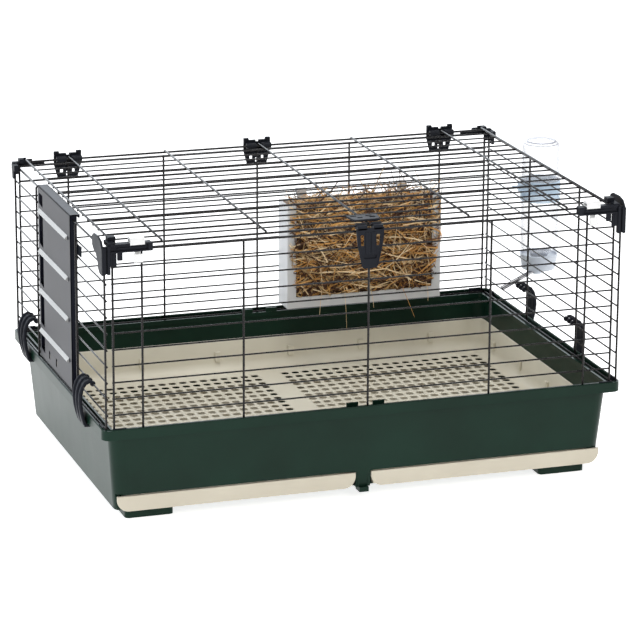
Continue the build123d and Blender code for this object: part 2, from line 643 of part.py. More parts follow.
with BuildPart() as cap_gasket:
    with BuildSketch(Plane.XY.offset(CAP[0] + 4)):
        with Locations(BOTTLE):
            Circle(17.2)
            Circle(8, mode=Mode.SUBTRACT)
    extrude(amount=3)
save(cap_gasket.part, "cap_gasket")

with BuildPart() as drinking_tube:
    with BuildSketch(Plane(origin=TUBE_TIP, z_dir=-TUBE_DIR)):
        Circle(TUBE_R)
    extrude(amount=TUBE_LENGTH)
    with BuildSketch(Plane(origin=TUBE_TIP, z_dir=-TUBE_DIR)):
        Circle(TUBE_MOUTH)
    extrude(amount=TUBE_LENGTH, mode=Mode.SUBTRACT)
    with BuildSketch(Plane(origin=Vector(*TUBE_TIP) - TUBE_DIR, z_dir=-TUBE_DIR)):
        Circle(TUBE_BORE)
    extrude(amount=TUBE_LENGTH, mode=Mode.SUBTRACT)
save(drinking_tube.part, "drinking_tube")

with BuildPart() as tube_ball:
    ball_at = Vector(*TUBE_TIP) - TUBE_DIR * (1.0 + BALL_R + 0.2)
    with Locations(ball_at):
        Sphere(BALL_R)
save(tube_ball.part, "tube_ball")

with BuildPart() as bottle_holder:
    with BuildSketch(Plane.XY.offset(408)):
        with Locations(BOTTLE):
            Circle(BOTTLE_R + 2.4)
            Circle(BOTTLE_R + 0.4, mode=Mode.SUBTRACT)
    extrude(amount=40)
    for end in (-1, 1):
        prong = sorted((BOTTLE[1] + end * 14, BOTTLE[1] + end * 20))
        bar((490.6, prong[0], 424), (BOTTLE[0] - 30, prong[1], 440))
        bar((479, prong[0], 430), (491, prong[1], 434))
    with BuildSketch(Plane.XY.offset(400)):
        with Locations(BOTTLE):
            Circle(BOTTLE_R + 0.4)
    extrude(amount=60, mode=Mode.SUBTRACT)
save(bottle_holder.part, "bottle_holder")
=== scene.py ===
"""Wire rabbit cage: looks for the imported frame. Metres, +Z up, -Y is the front."""

import json
import math
import random

import bmesh
import bpy
from mathutils import Matrix, Vector, noise
from mathutils.geometry import tessellate_polygon


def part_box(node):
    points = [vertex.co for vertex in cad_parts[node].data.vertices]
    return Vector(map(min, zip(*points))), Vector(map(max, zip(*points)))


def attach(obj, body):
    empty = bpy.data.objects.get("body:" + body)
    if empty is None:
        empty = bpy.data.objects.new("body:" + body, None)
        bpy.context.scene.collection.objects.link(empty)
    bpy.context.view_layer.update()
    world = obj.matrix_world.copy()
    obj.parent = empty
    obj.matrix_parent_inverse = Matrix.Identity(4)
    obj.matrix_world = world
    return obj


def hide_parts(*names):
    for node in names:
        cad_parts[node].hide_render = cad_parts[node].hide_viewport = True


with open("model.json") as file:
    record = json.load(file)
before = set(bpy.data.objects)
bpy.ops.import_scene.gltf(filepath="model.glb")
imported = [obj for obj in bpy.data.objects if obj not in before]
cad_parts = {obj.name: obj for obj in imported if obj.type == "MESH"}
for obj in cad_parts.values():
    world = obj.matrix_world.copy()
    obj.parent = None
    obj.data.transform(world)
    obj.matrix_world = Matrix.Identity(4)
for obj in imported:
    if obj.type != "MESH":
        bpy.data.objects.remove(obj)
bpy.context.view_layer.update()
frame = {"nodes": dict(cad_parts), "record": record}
nodes = frame["nodes"]
rng = random.Random(7)
MM = 0.001


# ---------------------------------------------------------------- mesh helpers
CORNERS = ((1, 1), (-1, 1), (-1, -1), (1, -1))


def rounded_box(cx, cy, half_x, half_y, radius, steps=3):
    """Outline of a rounded rectangle, anticlockwise, as (u, v) pairs."""
    points = []
    for quarter, (sx, sy) in enumerate(CORNERS):
        for step in range(steps + 1):
            turn = math.pi / 2 * (quarter + step / steps)
            points.append((cx + sx * (half_x - radius) + radius * math.cos(turn),
                           cy + sy * (half_y - radius) + radius * math.sin(turn)))
    return points


def rounded_loop(half_x, half_y, radius, z, steps=8):
    """Outline of a rounded rectangle about the origin, as points at height z."""
    return [Vector((u, v, z)) for u, v in rounded_box(0, 0, half_x, half_y, radius, steps)]


def in_mm(points):
    """Turns (u, v) pairs in millimetres into metres."""
    return [(u * MM, v * MM) for u, v in points]


def across_x(x_start):
    """Places a (y, z) outline at x_start and grows it along X."""
    return lambda u, v, w: Vector((x_start + w, u, v))


def across_y(y_start):
    """Places an (x, z) outline at y_start and grows it along Y."""
    return lambda u, v, w: Vector((u, y_start + w, v))


def across_z(z_start):
    """Places an (x, y) outline at z_start and grows it along Z."""
    return lambda u, v, w: Vector((u, v, z_start + w))


class Shape:
    """Collects vertices and faces, each face with a material index."""

    def __init__(self):
        self.verts = []
        self.faces = []
        self.slots = []

    def ring(self, points):
        start = len(self.verts)
        self.verts.extend(points)
        return list(range(start, start + len(points)))

    def bridge(self, low, high, slot=0, closed=True):
        count = len(low)
        for i in range(count if closed else count - 1):
            j = (i + 1) % count
            self.face((low[i], low[j], high[j], high[i]), slot)

    def face(self, indices, slot=0):
        self.faces.append(tuple(indices))
        self.slots.append(slot)

    def tube(self, points, radii, sides=10, slot=0, flat=1.0):
        """A closed tube through points, with a radius at each; flat below 1 squashes it across."""
        rings = []
        side = None
        for i, point in enumerate(points):
            before, after = points[max(i - 1, 0)], points[min(i + 1, len(points) - 1)]
            along = (after - before).normalized()
            if side is None:
                side = along.orthogonal().normalized()
            else:
                side = (side - along * side.dot(along)).normalized()
            other = along.cross(side)
            ring = []
            for k in range(sides):
                turn = 2 * math.pi * k / sides
                ring.append(point + (side * math.cos(turn) + other * math.sin(turn) * flat) * radii[i])
            rings.append(self.ring(ring))
        for low, high in zip(rings, rings[1:]):
            self.bridge(low, high, slot)
        self.face(reversed(rings[0]), slot)
        self.face(rings[-1], slot)

    def rod(self, start, end, radius, sides=12):
        """A straight wire with rounded ends."""
        start, end = Vector(start), Vector(end)
        along = (end - start).normalized() * radius
        points = [start, start + along * 0.3, start + along, end - along, end - along * 0.3, end]
        self.tube(points, [radius * f for f in (0.35, 0.8, 1, 1, 0.8, 0.35)], sides)

    def bead(self, centre, size, sides=8):
        """A small weld bead: a squashed ball."""
        centre = Vector(centre)
        rings = []
        for step in (1, 2, 3):
            lift = math.pi * step / 4
            rings.append(self.ring([
                centre + Vector((size[0] * math.sin(lift) * math.cos(2 * math.pi * k / sides),
                                 size[1] * math.sin(lift) * math.sin(2 * math.pi * k / sides),
                                 -size[2] * math.cos(lift))) for k in range(sides)]))
        bottom, top = self.ring([centre - Vector((0, 0, size[2])), centre + Vector((0, 0, size[2]))])
        for low, high in zip(rings, rings[1:]):
            self.bridge(low, high)
        for k in range(sides):
            self.face((bottom, rings[0][(k + 1) % sides], rings[0][k]))
            self.face((top, rings[-1][k], rings[-1][(k + 1) % sides]))

    def block(self, low, high, slot=0):
        """A box between two opposite corners."""
        points = [Vector((x, y, z)) for z in (low[2], high[2]) for x, y in
                  ((low[0], low[1]), (high[0], low[1]), (high[0], high[1]), (low[0], high[1]))]
        base = self.ring(points)
        for quad in ((3, 2, 1, 0), (4, 5, 6, 7), (0, 1, 5, 4), (1, 2, 6, 5), (2, 3, 7, 6), (3, 0, 4, 7)):
            self.face([base[i] for i in quad], slot)

    def plate(self, outline, holes, place, depth, slot=0):
        """A flat shape with holes, given thickness: place(u, v, w) sets a point, w is 0 or depth."""
        loops = [[Vector((u, v, 0)) for u, v in loop] for loop in [outline, *holes]]
        triangles = tessellate_polygon(loops)
        sides = [[self.ring([place(point.x, point.y, w) for point in loop]) for loop in loops]
                 for w in (0, depth)]
        for ids in ([i for ring in sides[0] for i in ring], [i for ring in sides[1] for i in ring]):
            for triangle in triangles:
                self.face([ids[i] for i in triangle], slot)
        for near, far in zip(*sides):
            self.bridge(near, far, slot)

    def build(self, name, materials, body, replaced, smooth=True, bevel=0.0, closed=True):
        mesh = bpy.data.meshes.new(name)
        mesh.from_pydata([tuple(v) for v in self.verts], [], self.faces)
        if closed:
            work = bmesh.new()
            work.from_mesh(mesh)
            bmesh.ops.recalc_face_normals(work, faces=work.faces)
            work.to_mesh(mesh)
            work.free()
        for material in materials:
            mesh.materials.append(material)
        mesh.polygons.foreach_set("material_index", self.slots)
        mesh.polygons.foreach_set("use_smooth", [smooth] * len(mesh.polygons))
        mesh.update()
        piece = bpy.data.objects.new(name, mesh)
        bpy.context.scene.collection.objects.link(piece)
        if bevel:
            edge = piece.modifiers.new("edges", "BEVEL")
            edge.width = bevel
            edge.segments = 2
            edge.limit_method = "ANGLE"
            edge.harden_normals = True
            mesh.set_sharp_from_angle(angle=math.radians(35))
        if replaced:
            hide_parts(*replaced)
        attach(piece, body)
        return piece


# ---------------------------------------------------------------- materials
def nodes_of(name):
    """A new material with its node tree and its surface shader."""
    material = bpy.data.materials.new(name)
    material.use_nodes = True
    tree = material.node_tree
    return material, tree, tree.nodes["Principled BSDF"]


def add_noise(tree, scale, detail=4.0, stretch=(1, 1, 1)):
    """Noise in the piece's own space."""
    coords = tree.nodes.new("ShaderNodeTexCoord")
    mapping = tree.nodes.new("ShaderNodeMapping")
    mapping.inputs["Scale"].default_value = stretch
    texture = tree.nodes.new("ShaderNodeTexNoise")
    texture.inputs["Scale"].default_value = scale
    texture.inputs["Detail"].default_value = detail
    tree.links.new(coords.outputs["Object"], mapping.inputs["Vector"])
    tree.links.new(mapping.outputs["Vector"], texture.inputs["Vector"])
    return texture.outputs["Fac"]


def ramp(tree, source, stops):
    """Colour from a value, through (position, colour) stops."""
    node = tree.nodes.new("ShaderNodeValToRGB")
    node.color_ramp.elements[0].position = stops[0][0]
    node.color_ramp.elements[0].color = (*stops[0][1], 1)
    node.color_ramp.elements[1].position = stops[-1][0]
    node.color_ramp.elements[1].color = (*stops[-1][1], 1)
    for position, colour in stops[1:-1]:
        node.color_ramp.elements.new(position).color = (*colour, 1)
    tree.links.new(source, node.inputs["Fac"])
    return node.outputs["Color"]


def remap(tree, source, low, high):
    """Stretches a value from 0..1 to low..high."""
    node = tree.nodes.new("ShaderNodeMapRange")
    node.inputs["To Min"].default_value = low
    node.inputs["To Max"].default_value = high
    tree.links.new(source, node.inputs["Value"])
    return node.outputs["Result"]


def add_bump(tree, shader, height, strength, distance):
    bump = tree.nodes.new("ShaderNodeBump")
    bump.inputs["Strength"].default_value = strength
    bump.inputs["Distance"].default_value = distance
    tree.links.new(height, bump.inputs["Height"])
    tree.links.new(bump.outputs["Normal"], shader.inputs["Normal"])


def plastic(name, dark, light, rough=(0.3, 0.42), grain=900.0, grain_depth=0.00006, specular=0.5):
    """Moulded plastic: slow colour drift, uneven gloss and a fine moulded grain."""
    material, tree, shader = nodes_of(name)
    drift = add_noise(tree, 9.0, 3.0)
    tree.links.new(ramp(tree, drift, [(0.3, dark), (0.7, light)]), shader.inputs["Base Color"])
    smear = add_noise(tree, 26.0, 6.0, (1, 1, 0.7))
    tree.links.new(remap(tree, smear, *rough), shader.inputs["Roughness"])
    add_bump(tree, shader, add_noise(tree, grain, 2.0), 0.35, grain_depth)
    shader.inputs["Specular IOR Level"].default_value = specular
    return material


def clear(name, tint, alpha, rough=0.08, coat=0.0, edge_alpha=None):
    """Thin translucent plastic with faint streaks; edge_alpha thickens it where it turns away."""
    material, tree, shader = nodes_of(name)
    streak = add_noise(tree, 40.0, 3.0, (1, 1, 0.15))
    low = tuple(c * 0.93 for c in tint)
    tree.links.new(ramp(tree, streak, [(0.3, low), (0.7, tint)]), shader.inputs["Base Color"])
    tree.links.new(remap(tree, streak, rough, rough + 0.12), shader.inputs["Roughness"])
    shader.inputs["Alpha"].default_value = alpha
    if edge_alpha:
        facing = tree.nodes.new("ShaderNodeLayerWeight")
        facing.inputs["Blend"].default_value = 0.25
        tree.links.new(remap(tree, facing.outputs["Facing"], alpha * 0.5, edge_alpha), shader.inputs["Alpha"])
    shader.inputs["IOR"].default_value = 1.45
    shader.inputs["Coat Weight"].default_value = coat
    return material


def wire_coat():
    """Black powder-coated wire: gloss that breaks up, small scuffs."""
    material, tree, shader = nodes_of("wire_black")
    scuff = add_noise(tree, 160.0, 5.0)
    tree.links.new(ramp(tree, scuff, [(0.35, (0.004, 0.0035, 0.004)), (0.75, (0.014, 0.012, 0.013))]),
                   shader.inputs["Base Color"])
    tree.links.new(remap(tree, scuff, 0.2, 0.36), shader.inputs["Roughness"])
    add_bump(tree, shader, add_noise(tree, 1500.0, 2.0), 0.3, 0.00004)
    shader.inputs["Specular IOR Level"].default_value = 0.25
    return material


def steel():
    """Brushed steel: fine streaks in colour and gloss."""
    material, tree, shader = nodes_of("steel_tube")
    brush = add_noise(tree, 300.0, 3.0, (0.1, 1, 1))
    tree.links.new(ramp(tree, brush, [(0.3, (0.20, 0.20, 0.21)), (0.7, (0.42, 0.42, 0.43))]),
                   shader.inputs["Base Color"])
    tree.links.new(remap(tree, brush, 0.15, 0.3), shader.inputs["Roughness"])
    shader.inputs["Metallic"].default_value = 1.0
    return material


def straw(name, dark, light):
    """Dry hay: streaks of colour and a rough surface."""
    material, tree, shader = nodes_of(name)
    fibre = add_noise(tree, 120.0, 5.0, (0.4, 1, 1))
    tree.links.new(ramp(tree, fibre, [(0.3, dark), (0.7, light)]), shader.inputs["Base Color"])
    add_bump(tree, shader, add_noise(tree, 700.0, 2.0), 0.5, 0.0003)
    shader.inputs["Roughness"].default_value = 0.55
    return material


GREEN = plastic("tub_green", (0.0045, 0.019, 0.0115), (0.006, 0.026, 0.016), (0.27, 0.33), specular=0.13)
BEIGE = plastic("beige", (0.66, 0.615, 0.50), (0.72, 0.68, 0.56), (0.35, 0.5), specular=0.4)
WIRE = wire_coat()
DOOR = plastic("door_black", (0.006, 0.007, 0.012), (0.009, 0.010, 0.017), (0.27, 0.29), 900.0, 0.00001, 0.06)
# Painted highlight: the door's black step ribs are painted pale grey to stand for the light they catch.
STEP_HIGHLIGHT = plastic("door_step_painted_highlight", (0.44, 0.44, 0.43), (0.50, 0.50, 0.49), (0.3, 0.4), specular=0.25)
BLACK = plastic("clip_black", (0.009, 0.010, 0.014), (0.015, 0.017, 0.023), (0.38, 0.52), 1400.0,
                specular=0.1)
WHITE = plastic("slider_white", (0.78, 0.78, 0.77), (0.86, 0.86, 0.85), (0.35, 0.5))
FROST = clear("rack_frosted", (0.80, 0.81, 0.83), 0.86, 0.35)
BOTTLE = clear("bottle_clear", (0.72, 0.74, 0.80), 0.1, 0.05, 0.3, 0.62)
BASE_RING = clear("bottle_ring", (0.42, 0.43, 0.50), 0.6, 0.1)
CAP = clear("cap_blue_grey", (0.64, 0.69, 0.77), 0.8, 0.25)
STRAP = clear("strap_blue", (0.52, 0.66, 0.80), 0.62, 0.2)
STEEL = steel()
DRAWER = plastic("drawer_beige", (0.56, 0.51, 0.405), (0.62, 0.57, 0.46), (0.35, 0.5), specular=0.4)
SEAL = plastic("seal_rubber", (0.55, 0.55, 0.55), (0.62, 0.62, 0.62), (0.6, 0.75))
GOLD, PALE, BROWN_AND_SHADE, DULL = range(4)
HAY = [
    straw("hay_gold", (0.46, 0.21, 0.05), (0.78, 0.42, 0.12)),
    straw("hay_pale", (0.82, 0.55, 0.26), (0.97, 0.78, 0.50)),
    # near-black brown: painted shade for the hay's core and the gaps between stems, also used for a few dark
    # stems
    straw("hay_brown_and_painted_shade", (0.045, 0.015, 0.004), (0.12, 0.045, 0.012)),
    straw("hay_dull", (0.36, 0.22, 0.09), (0.55, 0.38, 0.18)),
]

SLOT_LOOKS = {
    "green_plastic": GREEN, "beige_plastic": BEIGE, "black_wire": WIRE, "door_plastic": DOOR,
    "black_plastic": BLACK, "white_plastic": WHITE, "frosted_plastic": FROST, "hay": HAY[0],
    "clear_plastic": BOTTLE, "pale_blue_plastic": CAP, "holder_plastic": STRAP,
    "seal_rubber": SEAL, "tube_steel": STEEL,
}
for part in frame["record"]["subparts"]:
    for material_slot in nodes[part["node"]].material_slots:
        material_slot.material = DRAWER if "drawer" in part["node"] else SLOT_LOOKS[part["material_slot"]]


# ---------------------------------------------------------------- wire panels
FRAME_R, ROW_R, WELD = 2.0 * MM, 1.5 * MM, 0.5 * MM
WELD_BEAD = ROW_R * 1.5
HINGE_ROW = 1
ROW_PITCH, TOP_ROW = 30 * MM, 11
FRONT_POSTS = [x * MM for x in (-473, -420, -234, 0, 234, 420, 473)]
BACK_POSTS = [x * MM for x in (-478, -382, -191, 0, 191, 382, 478)]
ROOF_RAILS = [x * MM for x in (-467, -382, -191, 0, 191, 382, 467)]
SIDE_END, DOOR_POSTS = 330 * MM, (-131 * MM, 160 * MM)
RIGHT_POSTS = [-SIDE_END, -137 * MM, 110 * MM, SIDE_END]
ROOF_BARS, STOUT_ROOF_BARS = 19, (0, 5, 9, 13, 18)


def weld(shape, point):
    """Bead of weld where two wires cross."""
    shape.bead(point, (WELD_BEAD, WELD_BEAD, WELD_BEAD))


def upright_panel(node, posts, inward, stout_rows):
    """Front or back panel: posts outside, rows laid on their inner side."""
    low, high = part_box(node)
    post_y = low.y + FRAME_R if inward > 0 else high.y - FRAME_R
    row_0 = low.z + FRAME_R
    half = max(posts) + FRAME_R
    shape = Shape()
    for x in posts:
        shape.rod((x, post_y, row_0), (x, post_y, row_0 + ROW_PITCH * TOP_ROW), FRAME_R)
    for row in range(TOP_ROW + 1):
        radius = FRAME_R if row in stout_rows else ROW_R
        y = post_y + inward * (FRAME_R + radius - WELD)
        z = row_0 + ROW_PITCH * row
        shape.rod((-half, y, z), (half, y, z), radius)
        for x in posts:
            weld(shape, (x, post_y + inward * FRAME_R, z))
    shape.build(node + "_wires", [WIRE], "base", [node])


def side_panel(node, side, posts, doorway=None):
    """End panel; doorway is the pair of posts that its middle rows stop at."""
    low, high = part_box(node)
    post_x = high.x - FRAME_R if side > 0 else low.x + FRAME_R
    row_0 = low.z + FRAME_R
    run = SIDE_END + FRAME_R
    shape = Shape()
    for y in posts:
        shape.rod((post_x, y, row_0), (post_x, y, row_0 + ROW_PITCH * TOP_ROW), FRAME_R)
    for row in range(TOP_ROW + 1):
        radius = FRAME_R if row in (0, TOP_ROW) else ROW_R
        x = post_x - side * (FRAME_R + radius - WELD)
        z = row_0 + ROW_PITCH * row
        if doorway and HINGE_ROW < row < TOP_ROW:
            spans = ((-run, doorway[0] + FRAME_R), (doorway[1] - FRAME_R, run))
        else:
            spans = ((-run, run),)
        for start, end in spans:
            shape.rod((x, start, z), (x, end, z), radius)
        for y in posts:
            weld(shape, (post_x - side * FRAME_R, y, z))
    shape.build(node + "_wires", [WIRE], "base", [node])


def roof():
    """Roof panel: rails from front to back over bars from side to side."""
    low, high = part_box("roof_panel")
    rail_z = high.z - FRAME_R
    pitch = (high.y - low.y - 2 * FRAME_R) / (ROOF_BARS - 1)
    half = max(ROOF_RAILS) + FRAME_R
    shape = Shape()
    for x in ROOF_RAILS:
        shape.rod((x, low.y, rail_z), (x, high.y, rail_z), FRAME_R)
    for index in range(ROOF_BARS):
        radius = FRAME_R if index in STOUT_ROOF_BARS else ROW_R
        y = low.y + FRAME_R + pitch * index
        z = rail_z - FRAME_R - radius + WELD
        shape.rod((-half, y, z), (half, y, z), radius)
        for x in ROOF_RAILS:
            weld(shape, (x, y, rail_z - FRAME_R))
    shape.build("roof_wires", [WIRE], "roof", ["roof_panel"])


upright_panel("front_panel", FRONT_POSTS, 1, (0, TOP_ROW))
upright_panel("back_panel", BACK_POSTS, -1, (0, TOP_ROW - 1, TOP_ROW))
side_panel("right_panel", 1, RIGHT_POSTS)
side_panel("left_panel", -1, [-SIDE_END, *DOOR_POSTS, SIDE_END], DOOR_POSTS)
roof()


# ---------------------------------------------------------------- floor insert
HOLE, HOLE_CORNER = (14.6 * MM, 15.4 * MM), 3.6 * MM
HOLE_PITCH, HOLE_COUNT = (21.1 * MM, 24.8 * MM), (20, 21)
FIELD_START = 21.0 * MM
LONG_WALL_PEGS = [x * MM for x in (-400, -245, -90, 62, 210, 360)]
END_WALL_PEGS = [y * MM for y in (-200, -60, 80, 220)]
PEG_INSET, PEG_DEPTH = 5.5 * MM, 5 * MM


def hole_field(shape, start_x, floor_z):
    """Grid of cells, each with a rounded hole; returns the outer loop of vertex numbers."""
    across, along = HOLE_COUNT
    start_y = -along * HOLE_PITCH[1] / 2
    grid = [shape.ring([Vector((start_x + i * HOLE_PITCH[0], start_y + j * HOLE_PITCH[1], floor_z))
                        for i in range(across + 1)]) for j in range(along + 1)]
    half_x, half_y = HOLE[0] / 2, HOLE[1] / 2
    for j in range(along):
        for i in range(across):
            centre = Vector((start_x + (i + 0.5) * HOLE_PITCH[0],
                             start_y + (j + 0.5) * HOLE_PITCH[1], floor_z))
            rim = shape.ring([centre + Vector(step) for step in (
                (HOLE_CORNER - half_x, -half_y, 0), (half_x - HOLE_CORNER, -half_y, 0),
                (half_x, HOLE_CORNER - half_y, 0), (half_x, half_y - HOLE_CORNER, 0),
                (half_x - HOLE_CORNER, half_y, 0), (HOLE_CORNER - half_x, half_y, 0),
                (-half_x, half_y - HOLE_CORNER, 0), (-half_x, HOLE_CORNER - half_y, 0))])
            corners = (grid[j][i], grid[j][i + 1], grid[j + 1][i + 1], grid[j + 1][i])
            for k in range(4):
                near, far = rim[2 * k], rim[2 * k + 1]
                after = rim[(2 * k + 2) % 8]
                shape.face((corners[k], corners[(k + 1) % 4], far, near))
                shape.face((corners[(k + 1) % 4], after, far))
    right, left = [line[-1] for line in grid[:-1]], [line[0] for line in grid[:0:-1]]
    return grid[0][:-1] + right + grid[-1][:0:-1] + left


def insert_tray():
    """Moulded tray: coved walls, rolled edge and two fields of holes with a plain band between."""
    low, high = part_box("floor_insert")
    thick, cove, lean = 1.8 * MM, 18 * MM, 6 * MM
    floor_z = low.z + thick
    half_x, half_y = high.x, high.y
    floor_x, floor_y = half_x - lean - cove, half_y - lean - cove
    floor_corner, edge_corner = 12 * MM, 24 * MM
    steps = 6
    shape = Shape()
    inner = []
    for step in range(steps + 1):
        turn = math.pi / 2 * step / steps
        out, up = cove * math.sin(turn), cove * (1 - math.cos(turn))
        inner.append((floor_x + out, floor_y + out, floor_corner + out, floor_z + up))
    for inset, drop in ((3, 3), (2, 0.6), (0.8, 0), (0, 0.8), (0, 6)):
        inner.append((half_x - inset * MM, half_y - inset * MM, edge_corner, high.z - drop * MM))
    loops = [shape.ring(rounded_loop(*values)) for values in inner]
    for a, b in zip(loops, loops[1:]):
        shape.bridge(b, a)
    field_width = HOLE_COUNT[0] * HOLE_PITCH[0]
    edges = [loops[0]] + [hole_field(shape, start, floor_z)
                          for start in (FIELD_START, -FIELD_START - field_width)]
    flat_ids = [i for ring in edges for i in ring]
    for triangle in tessellate_polygon([[shape.verts[i] for i in ring] for ring in edges]):
        shape.face([flat_ids[i] for i in triangle])
    piece = shape.build("insert_tray", [BEIGE], "base", ["floor_insert"], closed=False)
    wall = piece.modifiers.new("wall", "SOLIDIFY")
    wall.thickness = thick
    wall.offset = -1
    pegs = Shape()
    half_width, base, tip = 5.5 * MM, floor_z + 18 * MM, floor_z + 38 * MM
    for x in LONG_WALL_PEGS:
        for y, way in ((half_y - PEG_INSET, -1), (-half_y + PEG_INSET, 1)):
            near, far = sorted((y, y + way * PEG_DEPTH))
            pegs.block((x - half_width, near, base), (x + half_width, far, tip))
    half_width, base, tip = 6 * MM, floor_z + 16 * MM, floor_z + 34 * MM
    for y in END_WALL_PEGS:
        for x, way in ((half_x - PEG_INSET, -1), (-half_x + PEG_INSET, 1)):
            near, far = sorted((x, x + way * PEG_DEPTH))
            pegs.block((near, y - half_width, base), (far, y + half_width, tip))
    pegs.build("insert_pegs", [BEIGE], "base", [], bevel=1.2 * MM)


insert_tray()


# ---------------------------------------------------------------- hay
def hay():
    """Loose hay packed in the rack: a lumpy core, painted near-black brown as shade, under crossing stems
    that bulge out of the window; deeper stems are darker (painted shade) and front ones paler (painted
    light).
    """
    low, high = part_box("hay_fill")
    rack_low, rack_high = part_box("hay_rack")
    mid = (low + high) / 2
    half = (high - low) / 2
    shape = Shape()
    across, up = 40, 26
    sill, window_half = rack_low.z + 22 * MM, (rack_high.x - rack_low.x) / 2 - 18 * MM
    side_spill, spill_rise = 16 * MM, 90 * MM
    core_drop, core_back, wave = 18 * MM, 7 * MM, 5 * MM
    plate_back = rack_low.y + 4 * MM

    def reach(z):
        """How far to each side the hay spills over the front plate at height z."""
        return window_half + side_spill * min(1.0, max(0.0, (z - sill) / spill_rise))

    def front(x, z):
        """The y at which the heap's face stands at x, z."""
        side = min(1.0, max(0.0, (reach(z) - abs(x - mid.x)) / (12 * MM)))
        rise = min(1.0, max(0.0, (z - sill) / (14 * MM)))
        lump = noise.noise(Vector((x, 0.3, z)) * 22) * 7 * MM
        return rack_low.y + 5 * MM - (9 * MM + lump) * side * rise

    grid, back = [], []
    for j in range(up + 1):
        row = []
        for i in range(across + 1):
            x = low.x + 2 * half.x * i / across
            z = low.z + (2 * half.z - core_drop) * j / up
            if j == up:
                z += noise.noise(Vector((x * 30, 7.0, 1.0))) * wave
            row.append(Vector((x, front(x, z) + core_back, z)))
        grid.append(shape.ring(row))
        back.append(shape.ring([Vector((point.x, high.y, point.z)) for point in row]))
    # The core is painted near-black brown: painted shade standing for the deep gaps between the stems.
    for a, b in zip(grid, grid[1:]):
        shape.bridge(a, b, BROWN_AND_SHADE, closed=False)
    for a, b in zip(back, back[1:]):
        shape.bridge(b, a, BROWN_AND_SHADE, closed=False)
    shape.bridge(back[0], grid[0], BROWN_AND_SHADE, closed=False)
    shape.bridge(grid[-1], back[-1], BROWN_AND_SHADE, closed=False)
    left, left_rear = [row[0] for row in grid], [row[0] for row in back]
    right, right_rear = [row[-1] for row in grid], [row[-1] for row in back]
    shape.bridge(left, left_rear, BROWN_AND_SHADE, closed=False)
    shape.bridge(right_rear, right, BROWN_AND_SHADE, closed=False)

    def stem(start, heading, length, radius, sag, curl_by=0.35, loose=False,
             kinds=(GOLD, GOLD, PALE, PALE, PALE, BROWN_AND_SHADE, DULL)):
        """One bent, tapering stem; a loose one may hang in front of the rack's plate."""
        points, radii = [], []
        steps = 6
        curl = Vector((rng.uniform(-1, 1), rng.uniform(-0.4, 0.4), rng.uniform(-1, 1))) * curl_by
        at = start.copy()
        way = heading.normalized()
        for step in range(steps + 1):
            points.append(at.copy())
            radii.append(radius * (1 - 0.45 * step / steps))
            at += way * (length / steps)
            way = (way + curl / steps + Vector((0, 0, -sag / steps))).normalized()
        for point in points:
            point.y = min(max(point.y, rack_low.y - 16 * MM), high.y)
            point.x = min(max(point.x, rack_low.x + 4 * MM), rack_high.x - 4 * MM)
            outside = point.z < sill + 2 * MM or abs(point.x - mid.x) > reach(point.z) - 2 * MM
            if outside and not loose:
                point.y = max(point.y, plate_back)
                point.z = max(point.z, low.z + 2 * MM)
        shape.tube(points, radii, 4, rng.choice(kinds), flat=rng.uniform(0.3, 0.7))

    packed, on_top = 2300, 330
    stem_layer, front_part = 10 * MM, 0.3
    # Stems near the face take paler kinds and deeper stems darker ones: painted light at the face and painted
    # shade inside the hay.
    front_kinds_painted_light = (PALE, PALE, GOLD, GOLD, DULL, BROWN_AND_SHADE)
    deep_kinds_painted_shade = (GOLD, GOLD, BROWN_AND_SHADE, BROWN_AND_SHADE, BROWN_AND_SHADE, DULL)
    for _ in range(packed):
        x = rng.uniform(low.x + 4 * MM, high.x - 4 * MM)
        z = rng.uniform(low.z + 6 * MM, high.z - 12 * MM)
        depth = rng.uniform(0, 1) ** 0.9
        start = Vector((x, front(x, z) + stem_layer * depth, z))
        turn = rng.gauss(0.3, 0.65) if rng.random() < 0.7 else rng.uniform(-1.6, 1.6)
        heading = Vector((math.cos(turn) * rng.choice((-1, 1)), rng.uniform(-0.22, 0.1), math.sin(turn)))
        kinds = front_kinds_painted_light if depth < front_part else deep_kinds_painted_shade
        length, radius = rng.uniform(0.02, 0.085), rng.uniform(0.8, 2.3) * MM
        stem(start, heading, length, radius, 0.15, curl_by=0.5, kinds=kinds)
    for _ in range(on_top):
        x = rng.uniform(low.x + 8 * MM, high.x - 8 * MM)
        start = Vector((x, rng.uniform(rack_low.y, high.y - 8 * MM), high.z - rng.uniform(6, 26) * MM))
        heading = Vector((rng.uniform(-1, 1), rng.uniform(-0.25, 0.25), rng.uniform(0.0, 0.5)))
        stem(start, heading, rng.uniform(0.025, 0.055), rng.uniform(0.6, 1.4) * MM, 0.9)
    for x, length in ((70, 50), (118, 90), (171, 45), (236, 75), (290, 40)):
        start = Vector((rack_low.x + x * MM, rack_low.y - 4 * MM, sill + 12 * MM))
        heading = Vector((rng.uniform(-0.5, 0.5), -0.12, -1))
        stem(start, heading, length * MM, rng.uniform(0.8, 1.2) * MM, 0.2, loose=True)
    shape.build("hay_bundle", HAY, "rack", ["hay_fill"], smooth=False, closed=False)


hay()


# ---------------------------------------------------------------- clips, brackets and clamps
def corner_bars(shape, outer, side, y_from, y_way, top, bars):
    """Blocks given in mm: x from the outer face, y from y_from along y_way, z down from the top."""
    for x_out, x_in, y_near, y_far, drop, drop_end in bars:
        xs = sorted((outer - side * x_out * MM, outer - side * x_in * MM))
        ys = sorted((y_from + y_way * y_near * MM, y_from + y_way * y_far * MM))
        shape.block((xs[0], ys[0], top - drop_end * MM), (xs[1], ys[1], top - drop * MM))


SHIELD_DEPTH = 4 * MM
ROOF_WIRE_Z, FRONT_WIRE_Y = 516.5 * MM, -326 * MM


